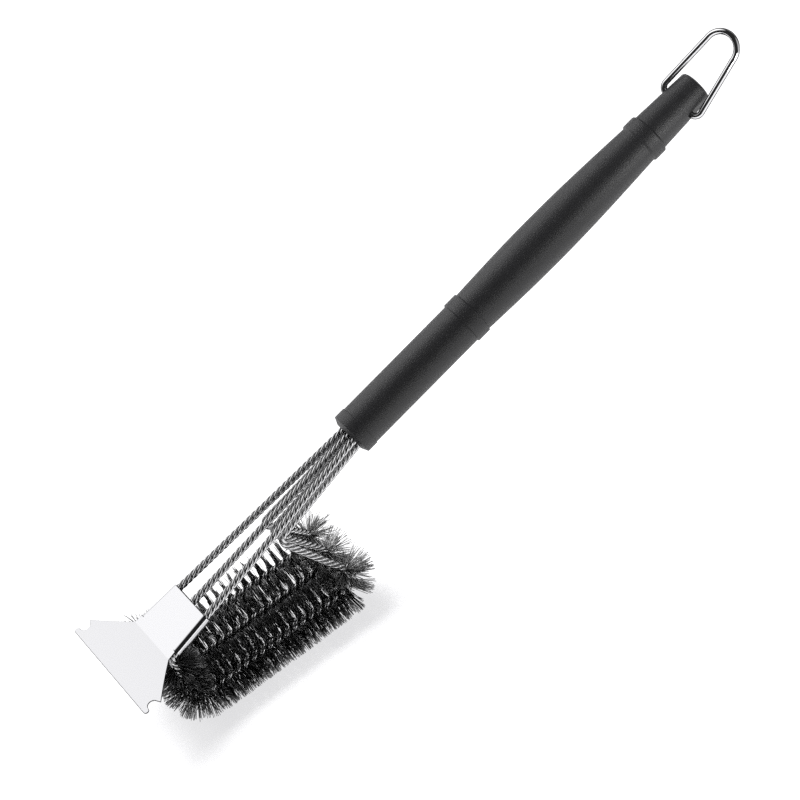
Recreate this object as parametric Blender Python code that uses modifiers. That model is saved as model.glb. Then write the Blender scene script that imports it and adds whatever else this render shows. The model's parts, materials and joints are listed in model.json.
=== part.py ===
"""Grill cleaning brush: three twisted-wire brushes and a scraper on one long handle.

The brush stands on its bristle tips. +X runs from the scraper to the handle, +Z is up,
and the origin is on the resting plane under the middle of the brush head.
Lengths are in metres.
"""
import math

import bpy
import bmesh
from mathutils import Matrix, Vector

# Handle: s runs along its axis from the front collar, w to the right (-Y), d down from the axis
HANDLE_RISE = math.radians(13.3)
HANDLE_START = Vector((0.088, 0.0, 0.0818))
HANDLE_LENGTH = 0.2535
COLLAR_R = 0.0123
COLLAR_LENGTH = 0.0062
COLLAR_SHOULDER = 0.0003
NOSE_R = 0.0087
NOSE_LENGTH = 0.0017
BARREL_R = 0.0119
MIDDLE_BEAD = (0.0800, 0.0885)
MIDDLE_BEAD_R = 0.01275
SWELL_FRONT_R = 0.0120
SWELL_TOP_S = 0.1400
SWELL_TOP_R = 0.01335
SWELL_REAR_R = 0.01115
REAR_BEAD = (0.2104, 0.2190)
REAR_BEAD_R = 0.0120
BEAD_SHOULDER = 0.0012
TAIL_FRONT_R = 0.0108
TAIL_REAR_R = 0.00935
TAIL_ROUNDING = 0.0018
TURN_STEPS = 32

# Core hole of the handle, and the slot in its nose that the six rope ends pass through
PILOT_R = 0.0030
LIP_LENGTH = 0.0060
BORE_R = 0.0093
BORE_STRAIGHT_END = 0.0600
BORE_END_R = 0.0062
BORE_END = 0.2250
SLOT_HALF_WIDTH = 0.00735
SLOT_HALF_HEIGHT = 0.00445
SLOT_CORNER_R = 0.0023
SLOT_OVERRUN = 0.0010

# Ropes: each brush is one loop of four wires
WIRE_R = 0.00080
WIRE_OFFSET = 0.00089
MOUTH_SPACING = 0.0050
ROD_DROP_AT_MOUTH = -0.0012
ROD_DROP_RATE = 0.042
ROD_SPLAY_RATE = 0.078
RETURN_DROP_AT_MOUTH = 0.0031
RETURN_TOP = (-0.0655, 0.0087, 0.0081)
ROPE_END_S = 0.0300
FRONT_STRUT_X = -0.0527
REAR_CORNER_X = 0.0547
CORE_SPACING = 0.0209
CORE_Z = 0.0142
CENTRE_CORE_LIFT = 0.0010
NECK_BEND_R = 0.0050
LOW_BEND_R = 0.0080
RETURN_BEND_R = 0.0040
BEND_STEP = math.radians(18)

# Bristle packs: the tips of neighbouring brushes mesh, so each pack stops half way between cores
BRISTLE_R = 0.0142
PACK_GAP = 0.0004
PACK_TOP_Z = 0.0390
PACK_REAR_ANGLE = math.radians(15)
CENTRE_PACK_BEVEL = 0.0040
SIDE_PACK_BEVEL = 0.0080
CHANNEL_R = 0.00245

# Scraper: one steel sheet, folded round the ropes behind and flared into a blade in front
SHEET = 0.0006
SLEEVE_REAR_S = -0.1183
SLEEVE_FRONT_S = -0.1416
SLEEVE_R = 0.00255
SLEEVE_SEAM = 0.0010
SLEEVE_STEPS = 6
NECK_HALF = 0.0179
BLADE_Z = 0.0457
BLADE_BEND_X = -0.0542
BLADE_BEND_HALF = 0.0185
FLARE_END = Vector((-0.0711, 0.0392))
FLARE_SAG = 0.0003
NOTCH_CENTRE = Vector((-0.0751, 0.0375))
NOTCH_R = 0.0028
FINGER_CENTRE = Vector((-0.0796, 0.0380))
FINGER_R = 0.0016

# Crimp band that holds the six rope ends together behind the handle's lip
BAND_START_S = 0.0085
BAND_LENGTH = 0.0160
BAND_WALL = 0.0008
BAND_HALF_WIDTH = 0.0073
BAND_HALF_HEIGHT = 0.0044

# Hanging loop: a wire bail whose ends turn in two blind holes in the tail
LOOP_WIRE_R = 0.0017
LOOP_HOLE_R = 0.00178
LOOP_HOLE_BOTTOM_R = 0.00315
LOOP_PIVOT_S = 0.2400
LOOP_ROLL = math.radians(27)
LOOP_SWING = math.radians(-25)
LOOP_HALF_WIDTH = 0.0132
LOOP_HALF_WIDTH_END = 0.0092
LOOP_REACH = 0.0449
LOOP_ELBOW_R = 0.0040
LOOP_PIN_END_R = 0.00355
TAIL_FLAT_R = 0.0090
TAIL_FLAT_START_S = 0.2373
CUTTER_SIZE = 0.0300
HOLE_SIDES = 20

COLLECTION = "grill_cleaning_brush"


def clear_scene():
    for obj in list(bpy.data.objects):
        bpy.data.objects.remove(obj, do_unlink=True)


def new_collection(name):
    coll = bpy.data.collections.new(name)
    bpy.context.scene.collection.children.link(coll)
    return coll


def material(name, color, metallic, roughness):
    mat = bpy.data.materials.new(name)
    mat.use_nodes = True
    bsdf = mat.node_tree.nodes["Principled BSDF"]
    bsdf.inputs["Base Color"].default_value = (*color, 1.0)
    bsdf.inputs["Metallic"].default_value = metallic
    bsdf.inputs["Roughness"].default_value = roughness
    return mat


def add_object(name, data, coll, mat=None, parent=None):
    obj = bpy.data.objects.new(name, data)
    coll.objects.link(obj)
    if mat is not None:
        data.materials.append(mat)
    obj.parent = parent
    return obj


def handle_point(s, w, d):
    """World position of a point given along, right of and below the handle's axis."""
    axis = Vector((math.cos(HANDLE_RISE), 0, math.sin(HANDLE_RISE)))
    up = Vector((-math.sin(HANDLE_RISE), 0, math.cos(HANDLE_RISE)))
    right = Vector((0, -1, 0))
    return HANDLE_START + s * axis + w * right - d * up


def rounded_path(corners, radii):
    """A polyline whose inner corners are replaced by arcs of the given radii."""
    points = [corners[0]]
    for before, corner, after, radius in zip(corners, corners[1:], corners[2:], radii):
        to_before = (before - corner).normalized()
        to_after = (after - corner).normalized()
        inside = to_before.angle(to_after)
        turn = math.pi - inside
        if radius == 0:
            points.append(corner)
            continue
        centre = corner + (to_before + to_after).normalized() * radius / math.sin(inside / 2)
        start = corner + to_before * radius / math.tan(inside / 2) - centre
        axis = to_before.cross(start).normalized()
        steps = max(2, math.ceil(turn / BEND_STEP))
        for i in range(steps + 1):
            angle = turn * i / steps
            points.append(centre + start * math.cos(angle) + axis.cross(start) * math.sin(angle))
    points.append(corners[-1])
    return points


def path_frames(points):
    """Unit normals along a polyline, carried from point to point with the least turning."""
    tangents = []
    for i in range(len(points)):
        ahead = points[min(i + 1, len(points) - 1)]
        behind = points[max(i - 1, 0)]
        tangents.append((ahead - behind).normalized())
    normal = Vector((0, 1, 0)).cross(tangents[0]).normalized()
    frames = []
    last = tangents[0]
    for tangent in tangents:
        normal = last.rotation_difference(tangent) @ normal
        normal = (normal - normal.dot(tangent) * tangent).normalized()
        frames.append((normal, tangent.cross(normal)))
        last = tangent
    return frames


def wire_curve(name, points, radius, coll, mat=None, parent=None, roundness=1):
    """A round wire along a polyline, with filled ends and 4 + 2 * roundness sides."""
    curve = bpy.data.curves.new(name, "CURVE")
    curve.dimensions = "3D"
    curve.bevel_depth = radius
    curve.bevel_resolution = roundness
    curve.use_fill_caps = True
    spline = curve.splines.new("POLY")
    spline.points.add(len(points) - 1)
    for point, place in zip(spline.points, points):
        point.co = (*place, 1.0)
    return add_object(name, curve, coll, mat, parent)


def curve_to_mesh(obj, flat_caps=False):
    """Replace a curve object by its mesh with the caps welded on.

    flat_caps turns each flat cap's triangles into one face, so that its rim can be bevelled.
    """
    bpy.context.view_layer.update()
    graph = bpy.context.evaluated_depsgraph_get()
    mesh = bpy.data.meshes.new_from_object(obj.evaluated_get(graph))
    work = bmesh.new()
    work.from_mesh(mesh)
    bmesh.ops.remove_doubles(work, verts=work.verts, dist=1e-6)
    if flat_caps:
        bmesh.ops.dissolve_limit(work, angle_limit=math.radians(1), verts=work.verts, edges=work.edges)
    work.to_mesh(mesh)
    work.free()
    name = obj.name
    coll = obj.users_collection[0]
    parent = obj.parent
    matrix = obj.matrix_world.copy()
    bpy.data.objects.remove(obj, do_unlink=True)
    new = bpy.data.objects.new(name, mesh)
    coll.objects.link(new)
    new.parent = parent
    new.matrix_world = matrix
    return new


def as_cutter(obj):
    obj.hide_render = True
    obj.display_type = "WIRE"
    return obj


def cut(obj, cutter):
    mod = obj.modifiers.new(cutter.name, "BOOLEAN")
    mod.operation = "DIFFERENCE"
    mod.solver = "EXACT"
    mod.object = cutter


def smooth(obj, angle=35):
    obj.data.shade_smooth()
    obj.data.set_sharp_from_angle(angle=math.radians(angle))


def rounded_slot(half_width, half_height, centre_x, steps=4):
    """Outline of a round-cornered slot in the x-y plane, long along y."""
    points = []
    for corner, (x_side, y_side) in enumerate(((1, 1), (-1, 1), (-1, -1), (1, -1))):
        x = centre_x + x_side * (half_height - SLOT_CORNER_R)
        y = y_side * (half_width - SLOT_CORNER_R)
        for i in range(steps + 1):
            angle = math.pi / 2 * (corner + i / steps)
            points.append((x + SLOT_CORNER_R * math.cos(angle), y + SLOT_CORNER_R * math.sin(angle)))
    return points


def flat_outline(name, outline, low, high, coll, mat=None, parent=None):
    """A flat 2D outline extruded from height low to height high along its local Z."""
    curve = bpy.data.curves.new(name, "CURVE")
    curve.dimensions = "2D"
    curve.fill_mode = "BOTH"
    curve.extrude = (high - low) / 2
    spline = curve.splines.new("POLY")
    spline.points.add(len(outline) - 1)
    for point, (x, y) in zip(spline.points, outline):
        point.co = (x, y, 0.0, 1.0)
    spline.use_cyclic_u = True
    obj = add_object(name, curve, coll, mat, parent)
    obj.location.z = (high + low) / 2
    return obj


# ---------------------------------------------------------------- handle


def grip_radius(s):
    """Radius of the swelling rear grip: a quarter sine up to its crown and another down."""
    if s < SWELL_TOP_S:
        t = (s - MIDDLE_BEAD[1]) / (SWELL_TOP_S - MIDDLE_BEAD[1])
        return SWELL_FRONT_R + (SWELL_TOP_R - SWELL_FRONT_R) * math.sin(t * math.pi / 2)
    t = (s - SWELL_TOP_S) / (REAR_BEAD[0] - SWELL_TOP_S)
    return SWELL_REAR_R + (SWELL_TOP_R - SWELL_REAR_R) * math.cos(t * math.pi / 2)


def bead(span, low_front, low_rear, top):
    """A raised ring with rounded shoulders, as (s, radius) points from front to rear."""
    start, end = span
    return [
        (start, low_front),
        (start + BEAD_SHOULDER * 0.3, low_front + (top - low_front) * 0.7),
        (start + BEAD_SHOULDER, top),
        (end - BEAD_SHOULDER, top),
        (end - BEAD_SHOULDER * 0.3, low_rear + (top - low_rear) * 0.7),
        (end, low_rear),
    ]


def handle_profile():
    """Outer side of the handle and its core hole as (radius, s), tail first."""
    outer = [(-NOSE_LENGTH, NOSE_R), (0.0, COLLAR_R), (COLLAR_LENGTH, COLLAR_R),
             (COLLAR_LENGTH + COLLAR_SHOULDER, BARREL_R)]
    outer += bead(MIDDLE_BEAD, BARREL_R, SWELL_FRONT_R, MIDDLE_BEAD_R)
    grip_steps = 9
    for i in range(1, grip_steps):
        s = MIDDLE_BEAD[1] + (REAR_BEAD[0] - MIDDLE_BEAD[1]) * i / grip_steps
        outer.append((s, grip_radius(s)))
    outer += bead(REAR_BEAD, SWELL_REAR_R, TAIL_FRONT_R, REAR_BEAD_R)
    for i in range(4):
        angle = math.radians(30 * i)
        s = HANDLE_LENGTH - TAIL_ROUNDING * (1 - math.sin(angle))
        outer.append((s, TAIL_REAR_R - TAIL_ROUNDING * (1 - math.cos(angle))))
    inner = [(-NOSE_LENGTH, PILOT_R), (LIP_LENGTH, PILOT_R), (LIP_LENGTH, BORE_R),
             (BORE_STRAIGHT_END, BORE_R), (BORE_END, BORE_END_R), (BORE_END, 0.0)]
    along = [(HANDLE_LENGTH, 0.0)] + outer[::-1] + inner
    return [(radius, s) for s, radius in along]


def make_handle(coll, cutters, frame, mat):
    mesh = bpy.data.meshes.new("handle_grip")
    profile = handle_profile()
    edges = [(i, i + 1) for i in range(len(profile) - 1)]
    mesh.from_pydata([(radius, 0.0, s) for radius, s in profile], edges, [])
    obj = add_object("handle_grip", mesh, coll, mat, frame)
    screw = obj.modifiers.new("turned", "SCREW")
    screw.steps = TURN_STEPS
    screw.render_steps = TURN_STEPS
    screw.use_merge_vertices = True
    screw.merge_threshold = 1e-5
    screw.use_smooth_shade = True
    slot_centre = (ROD_DROP_AT_MOUTH + RETURN_DROP_AT_MOUTH) / 2
    outline = rounded_slot(SLOT_HALF_WIDTH, SLOT_HALF_HEIGHT, slot_centre)
    slot_start = -2 * NOSE_LENGTH
    slot_end = LIP_LENGTH + SLOT_OVERRUN
    slot = flat_outline("nose_slot", outline, slot_start, slot_end, cutters, None, frame)
    cut(obj, as_cutter(curve_to_mesh(slot)))
    for side in (1, -1):
        cut(obj, tail_flat_cutter(side, cutters, frame))
        cut(obj, loop_hole_cutter(side, cutters, frame))
    return obj


def tail_flat_cutter(side, cutters, frame):
    """Block that planes a shallow flat on one side of the tail for the loop's leg."""
    bpy.ops.mesh.primitive_cube_add(size=1)
    obj = bpy.context.object
    obj.name = "tail_flat_" + ("a" if side > 0 else "b")
    move_to(obj, cutters)
    depth = CUTTER_SIZE / 3
    obj.data.transform(Matrix.Diagonal((CUTTER_SIZE, depth, CUTTER_SIZE, 1.0)))
    place_on_tail(obj, side, TAIL_FLAT_R + depth / 2, TAIL_FLAT_START_S + CUTTER_SIZE / 2, frame)
    return as_cutter(obj)


def loop_hole_cutter(side, cutters, frame):
    """Blind pivot hole for one end of the loop."""
    depth = CUTTER_SIZE / 3
    bpy.ops.mesh.primitive_cylinder_add(vertices=HOLE_SIDES, radius=LOOP_HOLE_R, depth=depth)
    obj = bpy.context.object
    obj.name = "loop_hole_" + ("a" if side > 0 else "b")
    move_to(obj, cutters)
    obj.data.transform(Matrix.Rotation(math.pi / 2, 4, "X"))
    place_on_tail(obj, side, LOOP_HOLE_BOTTOM_R + depth / 2, LOOP_PIVOT_S, frame)
    return as_cutter(obj)


def place_on_tail(obj, side, radial, s, frame):
    """Put a cutter at s along the handle, at a distance from its axis along the loop's pivot axis."""
    obj.parent = frame
    obj.location = (-math.sin(LOOP_ROLL) * side * radial, math.cos(LOOP_ROLL) * side * radial, s)
    obj.rotation_euler = (0, 0, LOOP_ROLL)


def move_to(obj, coll):
    for old in list(obj.users_collection):
        old.objects.unlink(obj)
    coll.objects.link(obj)


# ---------------------------------------------------------------- ropes and bristles


def core_height(side):
    return CORE_Z + (CENTRE_CORE_LIFT if side == 0 else 0.0)


def rod_point(s, side):
    return handle_point(s, side * (MOUTH_SPACING - ROD_SPLAY_RATE * s),
                        ROD_DROP_AT_MOUTH - ROD_DROP_RATE * s)


def rod_length_to(x):
    """Handle coordinate s at which a rod reaches the plane of the given x."""
    slope = math.cos(HANDLE_RISE) - ROD_DROP_RATE * math.sin(HANDLE_RISE)
    return (x - rod_point(0.0, 0).x) / slope


def rope_path(side):
    """Centre line of one rope: rod, front strut, core, rear strut and return to the handle."""
    z = core_height(side)
    y = -side * CORE_SPACING
    top_s, top_w, top_d = RETURN_TOP
    corners = [
        handle_point(ROPE_END_S, side * MOUTH_SPACING, ROD_DROP_AT_MOUTH),
        handle_point(0.0, side * MOUTH_SPACING, ROD_DROP_AT_MOUTH),
        rod_point(rod_length_to(FRONT_STRUT_X), side),
        Vector((FRONT_STRUT_X, y, z)),
        Vector((REAR_CORNER_X, y, z)),
        handle_point(top_s, side * top_w, top_d),
        handle_point(0.0, side * MOUTH_SPACING, RETURN_DROP_AT_MOUTH),
        handle_point(ROPE_END_S, side * MOUTH_SPACING, RETURN_DROP_AT_MOUTH),
    ]
    radii = [0, NECK_BEND_R, LOW_BEND_R, LOW_BEND_R, RETURN_BEND_R, 0]
    return rounded_path(corners, radii)


def make_rope(prefix, side, coll, mat):
    """Four wires side by side along one rope's path."""
    path = rope_path(side)
    frames = path_frames(path)
    wires = []
    for number in range(4):
        angle = math.radians(45 + 90 * number)
        reach = WIRE_OFFSET * math.sqrt(2)
        points = []
        for place, (normal, binormal) in zip(path, frames):
            offset = normal * math.cos(angle) + binormal * math.sin(angle)
            points.append(place + offset * reach)
        name = prefix + "_brush_wire_" + str(number + 1)
        wires.append(wire_curve(name, points, WIRE_R, coll, mat))
    return wires


def pack_outline(side):
    """Side view of one bristle pack as (x, z) points, with its underside on the resting plane."""
    outer = LOW_BEND_R + BRISTLE_R
    front_x = FRONT_STRUT_X + LOW_BEND_R
    rear_x = rear_bend_centre_x(side)
    points = [(FRONT_STRUT_X + BRISTLE_R, PACK_TOP_Z), (FRONT_STRUT_X - BRISTLE_R, PACK_TOP_Z)]
    steps = 6
    for i in range(steps + 1):
        angle = math.pi + math.pi / 2 * i / steps
        points.append((front_x + outer * math.cos(angle), outer + outer * math.sin(angle)))
    for i in range(steps + 1):
        angle = -math.pi / 2 + (math.pi / 2 + PACK_REAR_ANGLE) * i / steps
        points.append((rear_x + outer * math.cos(angle), outer + outer * math.sin(angle)))
    points.append((FRONT_STRUT_X + BRISTLE_R, core_height(side) + BRISTLE_R))
    return points


def rear_bend_centre_x(side):
    """Centre of the rear bend, from the angle between core and strut."""
    corner = Vector((REAR_CORNER_X, -side * CORE_SPACING, core_height(side)))
    top_s, top_w, top_d = RETURN_TOP
    strut = handle_point(top_s, side * top_w, top_d) - corner
    inside = strut.angle(Vector((-1, 0, 0)))
    return REAR_CORNER_X - LOW_BEND_R / math.tan(inside / 2)


def make_bristles(prefix, side, coll, cutters, mat):
    """One brush's bristles as a plain pack with a channel for its rope."""
    half = CORE_SPACING / 2 - PACK_GAP / 2
    low = -BRISTLE_R if side > 0 else -half
    high = BRISTLE_R if side < 0 else half
    name = prefix + "_bristles"
    pack = flat_outline(name, pack_outline(side), -high, -low, coll)
    pack.location = (0, -side * CORE_SPACING + (high + low) / 2, 0)
    pack.rotation_euler = (math.pi / 2, 0, 0)
    pack = curve_to_mesh(pack, flat_caps=True)
    pack.data.materials.append(mat)
    bevel = pack.modifiers.new("rim", "BEVEL")
    bevel.width = CENTRE_PACK_BEVEL if side == 0 else SIDE_PACK_BEVEL
    bevel.segments = 3
    bevel.limit_method = "ANGLE"
    bevel.angle_limit = math.radians(60)
    path = rope_path(side)
    channel = wire_curve(prefix + "_channel", path, CHANNEL_R, cutters, roundness=3)
    cut(pack, as_cutter(curve_to_mesh(channel)))
    smooth(pack)
    return pack


# ---------------------------------------------------------------- scraper


def sleeve_section(s):
    """Half of the folded sleeve at s, from the middle of its top to its seam, as (w, d)."""
    centre_w = MOUTH_SPACING - ROD_SPLAY_RATE * s
    centre_d = ROD_DROP_AT_MOUTH - ROD_DROP_RATE * s
    section = [(0.0, centre_d - SLEEVE_R)]
    for i in range(SLEEVE_STEPS + 1):
        angle = math.pi * i / SLEEVE_STEPS
        section.append((centre_w + SLEEVE_R * math.sin(angle),
                        centre_d - SLEEVE_R * math.cos(angle)))
    section.append((SLEEVE_SEAM, centre_d + SLEEVE_R))
    return section


def arc_points(centre, radius, start, end, steps):
    points = []
    for i in range(steps + 1):
        angle = math.radians(start + (end - start) * i / steps)
        points.append(Vector((centre.x + radius * math.cos(angle),
                              centre.y + radius * math.sin(angle))))
    return points


def blade_outline():
    """Half of the blade's edge as (x, y), from the bend line to the free edge."""
    bend = Vector((BLADE_BEND_X, BLADE_BEND_HALF))
    chord = FLARE_END - bend
    inward = Vector((-chord.y, chord.x)).normalized()
    if inward.y > 0:
        inward = -inward
    points = []
    steps = 5
    for i in range(1, steps + 1):
        t = i / steps
        points.append(bend + chord * t + inward * FLARE_SAG * 4 * t * (1 - t))
    points += arc_points(NOTCH_CENTRE, NOTCH_R, -15, -180, 8)
    points += arc_points(FINGER_CENTRE, FINGER_R, 0, 180, 6)
    return points


def make_scraper(coll, mat):
    work = bmesh.new()
    rows = []
    for s in (SLEEVE_REAR_S, SLEEVE_FRONT_S):
        half = sleeve_section(s)
        full = [(-w, d) for w, d in half[:0:-1]] + half
        rows.append([work.verts.new(handle_point(s, w, d)) for w, d in full])
    for i in range(len(rows[0]) - 1):
        work.faces.new((rows[0][i], rows[0][i + 1], rows[1][i + 1], rows[1][i]))
    middle = len(rows[1]) // 2
    fold, top = sleeve_section(SLEEVE_FRONT_S)[1]
    neck = [work.verts.new(handle_point(SLEEVE_FRONT_S, side * NECK_HALF, top)) for side in (-1, 1)]
    neck[1:1] = rows[1][middle - 1:middle + 2]
    bend_fold = fold * BLADE_BEND_HALF / NECK_HALF
    bend = [work.verts.new((BLADE_BEND_X, y, BLADE_Z))
            for y in (BLADE_BEND_HALF, bend_fold, 0.0, -bend_fold, -BLADE_BEND_HALF)]
    for i in range(len(neck) - 1):
        work.faces.new((neck[i], neck[i + 1], bend[i + 1], bend[i]))
    half = blade_outline()
    edge_left = [work.verts.new((p.x, p.y, BLADE_Z)) for p in half]
    edge_right = [work.verts.new((p.x, -p.y, BLADE_Z)) for p in half]
    work.faces.new(bend[::-1] + edge_left + edge_right[::-1])
    bmesh.ops.recalc_face_normals(work, faces=work.faces)
    mesh = bpy.data.meshes.new("scraper_plate")
    work.to_mesh(mesh)
    work.free()
    obj = add_object("scraper_plate", mesh, coll, mat)
    sheet = obj.modifiers.new("sheet", "SOLIDIFY")
    sheet.thickness = SHEET
    sheet.offset = 0.0
    sheet.use_even_offset = True
    return obj


# ---------------------------------------------------------------- anchor band and hanging loop


def make_band(coll, frame, mat):
    """Oval steel band round the six rope ends."""
    centre = (ROD_DROP_AT_MOUTH + RETURN_DROP_AT_MOUTH) / 2
    outline = rounded_slot(BAND_HALF_WIDTH, BAND_HALF_HEIGHT, centre)
    mesh = bpy.data.meshes.new("rope_anchor_band")
    count = len(outline)
    verts = [(x, y, BAND_START_S + z) for z in (0.0, BAND_LENGTH) for x, y in outline]
    faces = []
    for i in range(count):
        j = (i + 1) % count
        faces.append((i, j, count + j, count + i))
    mesh.from_pydata(verts, [], faces)
    obj = add_object("rope_anchor_band", mesh, coll, mat, frame)
    wall = obj.modifiers.new("wall", "SOLIDIFY")
    wall.thickness = BAND_WALL
    wall.offset = 1.0
    wall.use_even_offset = True
    smooth(obj)
    return obj


def loop_points():
    """The loop's wire in its own plane: y along the pivot axis, z along the loop."""
    centre_z = LOOP_REACH - LOOP_HALF_WIDTH_END
    half = [
        Vector((0, LOOP_PIN_END_R, 0)),
        Vector((0, LOOP_HALF_WIDTH, 0)),
        Vector((0, LOOP_HALF_WIDTH_END, centre_z)),
    ]
    leg = rounded_path(half, [LOOP_ELBOW_R])
    arc = []
    steps = 12
    for i in range(1, steps):
        angle = math.pi * i / steps
        arc.append(Vector((0, LOOP_HALF_WIDTH_END * math.cos(angle),
                           centre_z + LOOP_HALF_WIDTH_END * math.sin(angle))))
    other = [Vector((0, -p.y, p.z)) for p in leg[::-1]]
    return leg + arc + other


def make_loop(coll, frame, mat):
    pivot = bpy.data.objects.new("loop_pivot", None)
    coll.objects.link(pivot)
    pivot.parent = frame
    pivot.location = (0, 0, LOOP_PIVOT_S)
    pivot.rotation_euler = (0, LOOP_SWING, LOOP_ROLL)
    return wire_curve("hanging_loop", loop_points(), LOOP_WIRE_R, coll, mat, pivot, roundness=3)


# ---------------------------------------------------------------- assembly


def main():
    clear_scene()
    parts = new_collection(COLLECTION)
    cutters = new_collection("cutters")
    plastic = material("black_plastic", (0.032, 0.032, 0.034), 0.0, 0.55)
    wire_steel = material("wire_steel", (0.55, 0.55, 0.56), 1.0, 0.32)
    sheet_steel = material("sheet_steel", (0.80, 0.80, 0.82), 1.0, 0.12)
    bristle_steel = material("bristle_steel", (0.30, 0.30, 0.30), 0.8, 0.45)
    chrome = material("chrome", (0.85, 0.85, 0.86), 1.0, 0.05)
    band_steel = material("band_steel", (0.45, 0.45, 0.46), 1.0, 0.40)

    frame = bpy.data.objects.new("handle_frame", None)
    parts.objects.link(frame)
    frame.location = HANDLE_START
    frame.rotation_euler = (0, math.pi / 2 - HANDLE_RISE, 0)
    bpy.context.view_layer.update()

    make_handle(parts, cutters, frame, plastic)
    make_band(parts, frame, band_steel)
    make_scraper(parts, sheet_steel)
    for prefix, side in (("left", -1), ("centre", 0), ("right", 1)):
        make_rope(prefix, side, parts, wire_steel)
        make_bristles(prefix, side, parts, cutters, bristle_steel)
    make_loop(parts, frame, chrome)


main()
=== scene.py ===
"""Looks of the grill cleaning brush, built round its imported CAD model.

Lengths are in metres. The frame's own hinge places the handle; the dimensions below are the
design's, with the fine detail that the CAD leaves out: twisted strands, single bristles,
rounded edges and bends.
"""
import json
import math

import bmesh
import bpy
import numpy as np
from mathutils import Matrix, Vector


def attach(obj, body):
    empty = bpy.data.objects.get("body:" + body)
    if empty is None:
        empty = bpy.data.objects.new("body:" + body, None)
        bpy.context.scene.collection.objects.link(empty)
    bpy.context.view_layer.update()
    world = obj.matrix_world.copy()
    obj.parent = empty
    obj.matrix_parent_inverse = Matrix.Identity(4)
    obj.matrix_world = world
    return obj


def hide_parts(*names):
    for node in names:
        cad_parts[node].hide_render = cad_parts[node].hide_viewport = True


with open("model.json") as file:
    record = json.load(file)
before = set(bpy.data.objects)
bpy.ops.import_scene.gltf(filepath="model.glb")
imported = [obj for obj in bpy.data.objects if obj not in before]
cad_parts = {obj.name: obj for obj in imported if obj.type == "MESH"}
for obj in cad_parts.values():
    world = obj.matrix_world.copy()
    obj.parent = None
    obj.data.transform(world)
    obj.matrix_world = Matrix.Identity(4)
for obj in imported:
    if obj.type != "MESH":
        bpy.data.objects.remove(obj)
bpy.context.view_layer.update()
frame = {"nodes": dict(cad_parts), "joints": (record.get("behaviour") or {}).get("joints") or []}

# Handle: s runs along its axis from the front collar, w to the right (-Y), d down from the axis.
# Roundings, creases, shoulders and feet belong to its turned outline
LOOP_PIVOT_S = 0.2400
HANDLE_LENGTH = 0.2535
NOSE_R = 0.0087
NOSE_LENGTH = 0.0017
COLLAR_R = 0.0123
COLLAR_LENGTH = 0.0062
BARREL_R = 0.0119
MIDDLE_BEAD = (0.0800, 0.0885)
MIDDLE_BEAD_R = 0.01275
SWELL_FRONT_R = 0.0120
SWELL_TOP_S = 0.1400
SWELL_TOP_R = 0.01335
SWELL_REAR_R = 0.01115
REAR_BEAD = (0.2104, 0.2190)
REAR_BEAD_R = 0.0120
TAIL_FRONT_R = 0.0108
TAIL_REAR_R = 0.00935
TAIL_ROUNDING = 0.0018
COLLAR_STEP = 0.0002
BEAD_FOOT = 0.0001
BEAD_FRONT_SHOULDER = 0.0003
BEAD_REAR_SHOULDER = 0.0004
GRIP_EASE = 0.0020
EDGE_ROUNDING = 0.0003
BEAD_ROUNDING = 0.0004
CREASE_ROUNDING = 0.0002
COLLAR_CREASE = 0.00012
REAR_BEAD_SHOULDER = 0.0008
REAR_BEAD_ROUNDING = 0.0009
GRIP_STEPS = 60
TURN_STEPS = 144
PROFILE_ARC_STEP = math.radians(15)
HANDLE_SHARP_ANGLE = math.radians(38)

# Core hole of the handle, the slot in its nose, the flats and the loop's holes in its tail
LIP_LENGTH = 0.0060
BORE_R = 0.0093
BORE_STRAIGHT_END = 0.0600
BORE_END_R = 0.0062
BORE_END = 0.2250
PILOT_R = 0.0030
SLOT_HALF_WIDTH = 0.00735
SLOT_HALF_HEIGHT = 0.00445
SLOT_CORNER_R = 0.0023
SLOT_DROP = 0.00095
SLOT_CORNER_STEPS = 6
SLOT_CUT_START_S = -0.0050
SLOT_CUT_LENGTH = 0.0120
TAIL_FLAT_R = 0.0090
TAIL_FLAT_START_S = 0.2373
LOOP_HOLE_R = 0.00178
LOOP_HOLE_BOTTOM_R = 0.00315
HOLE_SIDES = 32
CUTTER_LENGTH = 0.0300
CUTTER_DEPTH = 0.0100

# Ropes: each brush is one loop of four strands, laid to the left
STRAND_R = 0.00086
LAY_R = 0.00122
BARE_PITCH = 0.0146
BRISTLED_PITCH = 0.0104
LAY_BLEND = 0.0020
PINCH_GAP = 0.00040
STRAND_SIDES = 10
ROPE_SPACING = 0.0004
MOUTH_SPACING = 0.0050
ROD_DROP_AT_MOUTH = -0.0012
ROD_DROP_RATE = 0.042
ROD_SPLAY_RATE = 0.078
RETURN_DROP_AT_MOUTH = 0.0031
RETURN_TOP = (-0.0655, 0.0087, 0.0081)
ROPE_END_S = 0.0300
FRONT_STRUT_X = -0.0527
REAR_CORNER_X = 0.0547
CORE_SPACING = 0.0209
CORE_Z = 0.0142
CENTRE_CORE_LIFT = 0.0010
NECK_BEND_R = 0.0050
LOW_BEND_R = 0.0080
RETURN_BEND_R = 0.0040
ROPE_ARC_STEP = math.radians(3)
TUBE_SHARP_ANGLE = math.radians(50)

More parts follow.
